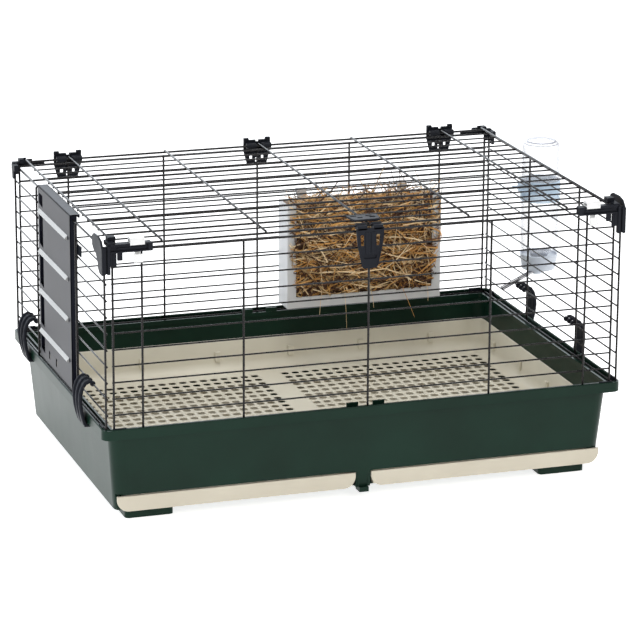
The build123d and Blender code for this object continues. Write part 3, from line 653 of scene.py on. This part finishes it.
def front_bracket(side, word):
    """Corner bracket: shield plate, ribbed grip, channelled arm with tabs under it."""
    node = "corner_front_" + word
    low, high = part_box(node)
    shape = Shape()
    outer = high.x if side > 0 else low.x
    front = low.y
    top = high.z
    shield = [(0, -16), (11, -4), (28, 0), (56, -0.5), (66, -6), (66, -23), (56, -30), (40, -34), (31, -44),
              (27, -56), (16, -64), (0, -64)]
    plate_x = min(outer, outer - side * SHIELD_DEPTH)
    shape.plate([(front + u * MM, top + v * MM) for u, v in shield], [], across_x(plate_x), SHIELD_DEPTH)
    corner_bars(shape, outer, side, front, 1, top, [
        (0.3, 7.5, -2.2, 9, 15, 62), (10, 15.5, -1.8, 8, 12, 63), (4, 14, 1.5, 8, 13, 62),
        (12, 24.3, 1, 32, 7, 15), (15.5, 91, -0.4, 16, 9.5, 12.5), (15.5, 91, 2.6, 4.4, 12, 24),
        (28, 80, 1.2, 3, 16, 19.5), (15.5, 91, -0.6, 4.4, 22, 25), (84, 92.5, -0.8, 14, 10.5, 24.5),
        (15.5, 27, -0.2, 4.3, 24, 49), (20, 23, -1.4, 1, 26, 47), (28.5, 38, 0.2, 4.3, 24, 39),
        (16, 30, 17, 34, 0, 10)])
    shape.build(node + "_body", [BLACK], "base", [node], bevel=0.9 * MM)


def rear_bracket(side, word):
    """Small rear corner bracket: a knob on the roof corner, a side hook and an arm along the back."""
    node = "corner_rear_" + word
    low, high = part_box(node)
    shape = Shape()
    outer = high.x if side > 0 else low.x
    corner_bars(shape, outer, side, high.y, -1, high.z, [
        (4, 66, 0, 4, 8, 19), (30, 64, 0, 6, 10, 13), (14, 23.5, 0.5, 14, 0, 9), (20, 30, 0.5, 3.8, 0, 9),
        (26, 42, 1, 3.8, 3, 8), (0, 9, 6, 30, 8, 20), (2, 14, 0, 10, 6, 30), (0, 5, 10, 22, 18, 36)])
    shape.build(node + "_body", [BLACK], "base", [node], bevel=0.9 * MM)


def slider(side, word):
    """White slide catch: a hollow block above the arm and a tongue below it."""
    node = "slider_" + word
    low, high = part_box(node)
    shape = Shape()
    cy, cz = low.y + 10.5 * MM, high.z - 6.6 * MM
    ring = rounded_box(cy, cz, 9.5 * MM, 6.4 * MM, 2.2 * MM)
    hole = rounded_box(cy, cz + 0.5 * MM, 6.5 * MM, 2.6 * MM, 1.2 * MM)
    shape.plate(ring, [hole], across_x(low.x), high.x - low.x - 3 * MM)
    shape.plate(ring, [], across_x(high.x - 3 * MM), 3 * MM)
    shape.block((low.x + 6 * MM, low.y + 0.2 * MM, low.z), (high.x - 4 * MM, low.y + 3 * MM, low.z + 15 * MM))
    shape.block((low.x + 9 * MM, low.y + 1 * MM, low.z), (high.x - 7 * MM, low.y + 9 * MM, low.z + 4 * MM))
    shape.block((low.x + 9 * MM, low.y + 7.5 * MM, low.z), (high.x - 7 * MM, low.y + 9.5 * MM, cz - 3 * MM))
    shape.build(node + "_body", [WHITE], "slider_" + word, [node], bevel=0.8 * MM)


def hinge_clip(word):
    """Roof hinge clip: two barrels round the wire, ears, ribs, a knob and a tapered windowed plate."""
    node = "roof_clip_" + word
    low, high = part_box(node)
    x = (low.x + high.x) / 2
    shape = Shape()
    back, top = high.y, high.z

    def at(points):
        return [(x + u * MM, top + v * MM) for u, v in points]

    barrel_r, knob_r = 5.4 * MM, 5.4 * MM
    plate = at([(-27, -8), (27, -8), (27, -26), (19, -56), (-19, -56), (-27, -26)])
    holes = [at([(u0, -36), (u1, -36), (u1, -43), (u0, -43)]) for u0, u1 in ((-15, -9), (9, 14))]
    holes.append(at([(-3, -40), (3, -40), (3, -49), (-3, -49)]))
    shape.plate(plate, holes, across_y(back - 4 * MM), 4 * MM)
    for end in (-1, 1):
        barrel = sorted((x + end * 5.5 * MM, x + end * 25 * MM))
        axis_y = back - 16.4 * MM
        shape.tube([Vector((end_x, axis_y, ROOF_WIRE_Z)) for end_x in barrel], [barrel_r] * 2, 16)
        lug = sorted((x + end * 6 * MM, x + end * 24 * MM))
        shape.block((lug[0], axis_y + 2 * MM, top - 16 * MM), (lug[1], back - 2 * MM, top - 8.5 * MM))
        ear = sorted((x + end * 17 * MM, x + end * 27 * MM))
        shape.block((ear[0], back - 6 * MM, top - 12 * MM), (ear[1], back, top))
        cheek = sorted((x + end * 3 * MM, x + end * 17 * MM))
        shape.block((cheek[0], back - 7 * MM, top - 11 * MM), (cheek[1], back - 0.5 * MM, top - 4 * MM))
    knob = Vector((x + 21.5 * MM, back - 9 * MM, top - 14 * MM))
    shape.tube([knob, knob + Vector((0, 8 * MM, 0))], [knob_r] * 2, 14)
    for drop, reach in ((22, 25), (29, 23)):
        shape.block((x - reach * MM, back - 6 * MM, top - (drop + 2.5) * MM),
                    (x + reach * MM, back - 3 * MM, top - drop * MM))
    shape.build(node + "_body", [BLACK], "base", [node], bevel=0.7 * MM)


def front_clip():
    """Clip at the front of the roof: slotted base on top, tapered flap with windows below."""
    low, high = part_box("front_clip_base")
    shape = Shape()
    outline = [(low.x, high.y), (low.x + 4 * MM, low.y + 4 * MM), (low.x + 8 * MM, low.y),
               (high.x - 8 * MM, low.y), (high.x - 2 * MM, low.y + 6 * MM), (high.x, high.y)]
    holes = []
    for u0, u1 in ((-23, -12), (6, 17)):
        holes.append(in_mm([(u0, -292), (u1, -292), (u1, -296), (u0, -296)]))
    for u0, u1 in ((-13, -4), (10, 20)):
        holes.append(in_mm([(u0, -303), (u1, -303), (u1, -308), (u0, -308)]))
    shape.plate(outline, holes, across_z(low.z), high.z - low.z)
    for x0, x1 in ((-24, -2), (2, 24)):
        shape.block((x0 * MM, low.y - 1 * MM, low.z), (x1 * MM, low.y + 4 * MM, low.z + 2.6 * MM))
    shape.build("front_clip_base_body", [BLACK], "roof", ["front_clip_base"], bevel=0.8 * MM)

    low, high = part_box("front_clip_flap")
    shape = Shape()

    def mirror(points):
        return points + [(-u, v) for u, v in reversed(points)]

    outline = in_mm(mirror([(26, 514), (25.5, 502), (24, 486), (20, 466), (15, 445), (12, 440)]))
    windows = [in_mm([(end * u, v) for u, v in ((11.5, 502), (18.5, 502), (17, 480), (11.5, 480))])
               for end in (-1, 1)]
    slot = in_mm([(-12.5, 465), (12.5, 465), (11.5, 458), (-11.5, 458)])
    shape.plate(outline, windows + [slot], across_y(low.y + 0.5 * MM), 1.9 * MM)
    shape.plate(outline, windows, across_y(low.y + 2.8 * MM), 1.1 * MM)
    for side in (-1, 1):
        edge = [(side * u, v) for u, v in ((26, 512), (25.5, 502), (24, 486), (20, 466), (15, 445),
                                           (12.5, 445), (17, 466), (20.8, 486), (22.5, 512))]
        shape.plate(in_mm(edge), [], across_y(low.y), 4 * MM)
        post = sorted((side * 1.6 * MM, side * 9.5 * MM))
        shape.block((post[0], low.y - 0.6 * MM, 468 * MM), (post[1], low.y + 3.8 * MM, 507 * MM))
        barrel = sorted((side * 6 * MM, side * 24 * MM))
        ends = [Vector((x, FRONT_WIRE_Y, ROOF_WIRE_Z)) for x in barrel]
        shape.tube(ends, [5.3 * MM] * 2, 16)
        shape.block((barrel[0], low.y + 0.5 * MM, 510.5 * MM), (barrel[1], FRONT_WIRE_Y - 2 * MM, 519 * MM))
    shape.build("front_clip_flap_body", [BLACK], "front_clip", ["front_clip_flap"],
                bevel=0.6 * MM)


def side_clamp(word):
    """Bowed clamp: ribs with round heads on a side wire, a thin skin behind them and a hooked toe."""
    node = "side_clamp_" + word
    low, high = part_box(node)
    side = 1 if low.x > 0 else -1
    wire_x, wire_z = 484 * MM, 237.5 * MM
    centre_y = (low.y + high.y) / 2
    half = (high.y - low.y) / 2
    shape = Shape()
    bow = [(486.5, 241.6, 3.0), (491.5, 242.3, 3.2), (497.5, 239, 3.4), (503, 231, 3.6), (506.6, 219, 3.7),
           (507.6, 205, 3.7), (506, 189, 3.5), (503, 174, 3.1), (500, 162, 2.4)]
    rib_inset = 4.2 * MM
    for y in (centre_y - half + rib_inset, centre_y, centre_y + half - rib_inset):
        points = [Vector((side * u * MM, y, v * MM)) for u, v, _ in bow]
        shape.tube(points, [radius * MM for _, _, radius in bow], 10)
        for grow, reach in ((4.9, 2.6), (4.2, 3.4)):
            head = [Vector((side * wire_x, y + way * reach * MM, wire_z)) for way in (-1, 1)]
            shape.tube(head, [grow * MM] * 2, 16)
    skin = [(488, 240), (497, 236), (502, 228), (504.6, 205), (500.5, 174), (497, 163), (489, 161.5),
            (489, 157.5), (500.5, 158), (504, 170), (507, 190), (508, 206), (506, 222), (501, 235),
            (495, 241.5), (489, 243)]
    skin_inset = 1.5 * MM
    shape.plate([(side * u * MM, v * MM) for u, v in skin], [], across_y(low.y + skin_inset),
                2 * (half - skin_inset))
    shape.build(node + "_body", [BLACK], "clamp_" + word, [node], bevel=0.5 * MM)


for bracket_side, bracket_word in ((-1, "left"), (1, "right")):
    front_bracket(bracket_side, bracket_word)
    rear_bracket(bracket_side, bracket_word)
    slider(bracket_side, bracket_word)
for clip_word in ("left", "middle", "right"):
    hinge_clip(clip_word)
front_clip()
for clamp_word in ("left_rear", "left_front", "right_rear", "right_front"):
    side_clamp(clamp_word)


# ---------------------------------------------------------------- side door
def side_door():
    """Ramp door: glossy sheet with step ribs, slots down the rear edge, flanges and a toothed lip; the ribs
    carry a pale grey painted highlight.
    """
    low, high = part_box("side_door")
    face = low.x + 5 * MM
    front, rear, bottom, top = low.y, high.y, low.z, high.z
    depth, flange, lip = 13.5 * MM, 2.5 * MM, 19 * MM
    frame_w = 2 * MM
    hinge_x, hinge_z = -484 * MM, 207.5 * MM
    shape = Shape()
    steps = [z * MM for z in (473, 396, 319, 242)]
    bounds = [top - 4 * MM] + steps + [bottom + 4 * MM]
    slot_front, slot_rear = 97 * MM, 124 * MM
    slots = []
    for upper, lower in zip(bounds, bounds[1:]):
        slots.append([(slot_front, lower + 9 * MM), (slot_rear, lower + 13 * MM), (slot_rear, upper - 9 * MM),
                      (slot_front, upper - 9 * MM)])
    hooks = [[(y - 4 * MM, bottom + 12 * MM), (y + 4 * MM, bottom + 12 * MM),
              (y + 4 * MM, bottom + 27 * MM), (y - 4 * MM, bottom + 27 * MM)] for y in (10 * MM, 62 * MM)]
    sheet = [(front, bottom), (rear, bottom), (rear, top), (front, top)]
    shape.plate(sheet, slots + hooks, across_x(face), 2 * MM)
    for slot in slots[1:]:
        (y0, z0), (y1, z1) = slot[0], slot[2]
        shape.block((face + 6 * MM, y0 - frame_w, z0 - frame_w),
                    (face + 7.5 * MM, y1 + frame_w, z1 + frame_w))
    for slot in slots:
        (y0, z0), (y1, z1) = slot[0], slot[2]
        for lo, hi in (((y0 - frame_w, z0 - frame_w), (y0, z1 + frame_w)),
                       ((y1, z0 - frame_w), (y1 + frame_w, z1 + frame_w)),
                       ((y0, z0 - frame_w), (y1, z0)),
                       ((y0, z1), (y1, z1 + frame_w))):
            shape.block((face + 1 * MM, lo[0], lo[1]), (face + 7 * MM, hi[0], hi[1]))
    for y in (front, rear - flange):
        shape.block((face, y, bottom), (face + depth, y + flange, top))
    shape.block((face, front, bottom), (face + 7 * MM, rear, bottom + 2 * MM))
    shape.block((face, front, top - 2.5 * MM), (face + lip, rear, top))
    shape.block((face + lip - 3 * MM, front, top - 6 * MM), (face + lip, rear, top - 1 * MM))
    tooth = 12 * MM
    for index in range(int((rear - front - 18 * MM) / tooth)):
        y = front + 10 * MM + index * tooth
        shape.block((face + lip - 1 * MM, y, top - 5 * MM),
                    (face + lip + 2.5 * MM, y + tooth / 2, top - 1.5 * MM))
    for y in (-96 * MM, -36 * MM, 36 * MM, 96 * MM):
        knuckle = [Vector((hinge_x, y + way * 6 * MM, hinge_z)) for way in (-1, 1)]
        shape.tube(knuckle, [4 * MM] * 2, 14)
        shape.block((face + 1 * MM, y - 5.5 * MM, hinge_z - 3 * MM),
                    (hinge_x, y + 5.5 * MM, hinge_z + 3 * MM))
    shape.build("side_door_body", [DOOR], "door", ["side_door"], bevel=0.6 * MM)
    # The step ribs get the pale grey painted highlight instead of the door's black plastic.
    ribs = Shape()
    root, tip = face + 0.5 * MM, low.x + 0.3 * MM
    rib_front, rib_rear = front + 21 * MM, rear - 10 * MM
    for z in steps:
        outline = [(root, z + 3.5 * MM), (root, z - 7 * MM), (tip, z - 4 * MM), (tip, z - 3 * MM)]
        ribs.plate(outline, [], lambda u, v, w: Vector((u, rib_front + w, v)), rib_rear - rib_front)
    ribs.build("side_door_steps", [STEP_HIGHLIGHT], "door", [], bevel=0.5 * MM)


side_door()


# ---------------------------------------------------------------- rim and bottle rings
def rim_bead():
    """Rolled edge that rounds the outside of the base's rim."""
    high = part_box("tub")[1]
    radius, corner, height, sides = 2.2 * MM, 26 * MM, 181 * MM, 8
    shape = Shape()
    loops = []
    for step in range(sides):
        turn = 2 * math.pi * step / sides
        inset, lift = radius * (1 - math.cos(turn)), radius * math.sin(turn)
        loops.append(shape.ring(rounded_loop(high.x - inset, high.y - inset, corner - inset, height + lift)))
    for a, b in zip(loops, loops[1:] + loops[:1]):
        shape.bridge(a, b)
    shape.build("rim_bead", [GREEN], "base", [])


rim_bead()


def bottle_ring():
    """Two foot rings moulded in the flat end of the bottle."""
    low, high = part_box("bottle_body")
    centre = (low + high) / 2
    sides, around_steps = 8, 48
    shape = Shape()
    for radius, drop, thick in ((28 * MM, 1.6 * MM, 1.3 * MM), (33.5 * MM, 5.5 * MM, 0.8 * MM)):
        turns = [2 * math.pi * step / around_steps for step in range(around_steps)]
        loops = []
        for step in range(sides):
            around = 2 * math.pi * step / sides
            out, z = radius + thick * math.cos(around), high.z + thick * math.sin(around) - drop
            circle = [(centre.x + out * math.cos(turn), centre.y + out * math.sin(turn)) for turn in turns]
            loops.append(shape.ring([Vector((x, y, z)) for x, y in circle]))
        for a, b in zip(loops, loops[1:] + loops[:1]):
            shape.bridge(a, b)
    shape.build("bottle_foot_ring", [BASE_RING], "bottle", [])


bottle_ring()


# ---------------------------------------------------------------- floor, light and camera
def stage():
    """Wide white floor with some glow of its own."""
    mesh = bpy.data.meshes.new("floor")
    reach = 30.0
    mesh.from_pydata([(-reach, -reach, 0), (reach, -reach, 0), (reach, reach, 0), (-reach, reach, 0)], [],
                     [(0, 1, 2, 3)])
    floor = bpy.data.objects.new("floor", mesh)
    bpy.context.scene.collection.objects.link(floor)
    material, _, shader = nodes_of("floor_white")
    shader.inputs["Base Color"].default_value = (0.9, 0.9, 0.9, 1)
    shader.inputs["Roughness"].default_value = 0.9
    shader.inputs["Specular IOR Level"].default_value = 0.0
    shader.inputs["Emission Color"].default_value = (1, 1, 1, 1)
    shader.inputs["Emission Strength"].default_value = 0.8
    mesh.materials.append(material)


def area(name, place, target, size, power, colour=(1, 1, 1)):
    """A soft rectangular light."""
    light = bpy.data.lights.new(name, "AREA")
    light.shape = "RECTANGLE"
    light.size, light.size_y = size
    light.energy = power
    light.color = colour
    lamp = bpy.data.objects.new(name, light)
    lamp.location = place
    lamp.rotation_euler = (Vector(target) - Vector(place)).to_track_quat("-Z", "Y").to_euler()
    bpy.context.scene.collection.objects.link(lamp)


COOL = (0.86, 0.93, 1.0)


def lights():
    """A large card behind, soft boxes above, at the left and in front, and an even fill."""
    world = bpy.data.worlds.new("studio")
    bpy.context.scene.world = world
    world.use_nodes = True
    background = world.node_tree.nodes["Background"]
    background.inputs["Color"].default_value = (1, 1, 1, 1)
    background.inputs["Strength"].default_value = 0.35
    area("backdrop_card", (-0.6, 6.0, 2.0), (0, 0, 0.3), (9.0, 3.4), 215, COOL)
    area("softbox_top", (0.1, -0.3, 3.4), (0, 0, 0.2), (3.0, 2.4), 75)
    area("softbox_left", (-3.4, 0.2, 1.5), (0, 0, 0.3), (2.6, 2.0), 45, COOL)
    area("softbox_front", (1.8, -4.5, 2.6), (0, 0, 0.2), (1.6, 1.6), 45)


CAMERA_AZIMUTH, CAMERA_ELEVATION, CAMERA_ROLL = -18.65, 16.17, 0.34
CAMERA_DISTANCE = 6.252
CAMERA_TARGET = Vector((0.0244, 0.0, 0.252))
CAMERA_LENS, CAMERA_SENSOR = 185.7, 36.0


def camera():
    """A long lens, to the left of the front and a little above."""
    data = bpy.data.cameras.new("camera")
    data.lens, data.sensor_width = CAMERA_LENS, CAMERA_SENSOR
    data.shift_x, data.shift_y = -0.0033, -0.0031
    data.clip_start, data.clip_end = 0.1, 100
    view = bpy.data.objects.new("camera", data)
    turn, rise = math.radians(CAMERA_AZIMUTH), math.radians(CAMERA_ELEVATION)
    back = Vector((math.sin(turn) * math.cos(rise), -math.cos(turn) * math.cos(rise), math.sin(rise)))
    view.location = CAMERA_TARGET + back * CAMERA_DISTANCE
    aim = (-back).to_track_quat("-Z", "Y").to_matrix().to_4x4()
    spin = aim @ Matrix.Rotation(math.radians(CAMERA_ROLL), 4, "Z")
    view.rotation_euler = spin.to_euler()
    bpy.context.scene.collection.objects.link(view)
    bpy.context.scene.camera = view


stage()
lights()
camera()
bpy.context.scene.view_settings.view_transform = "Standard"
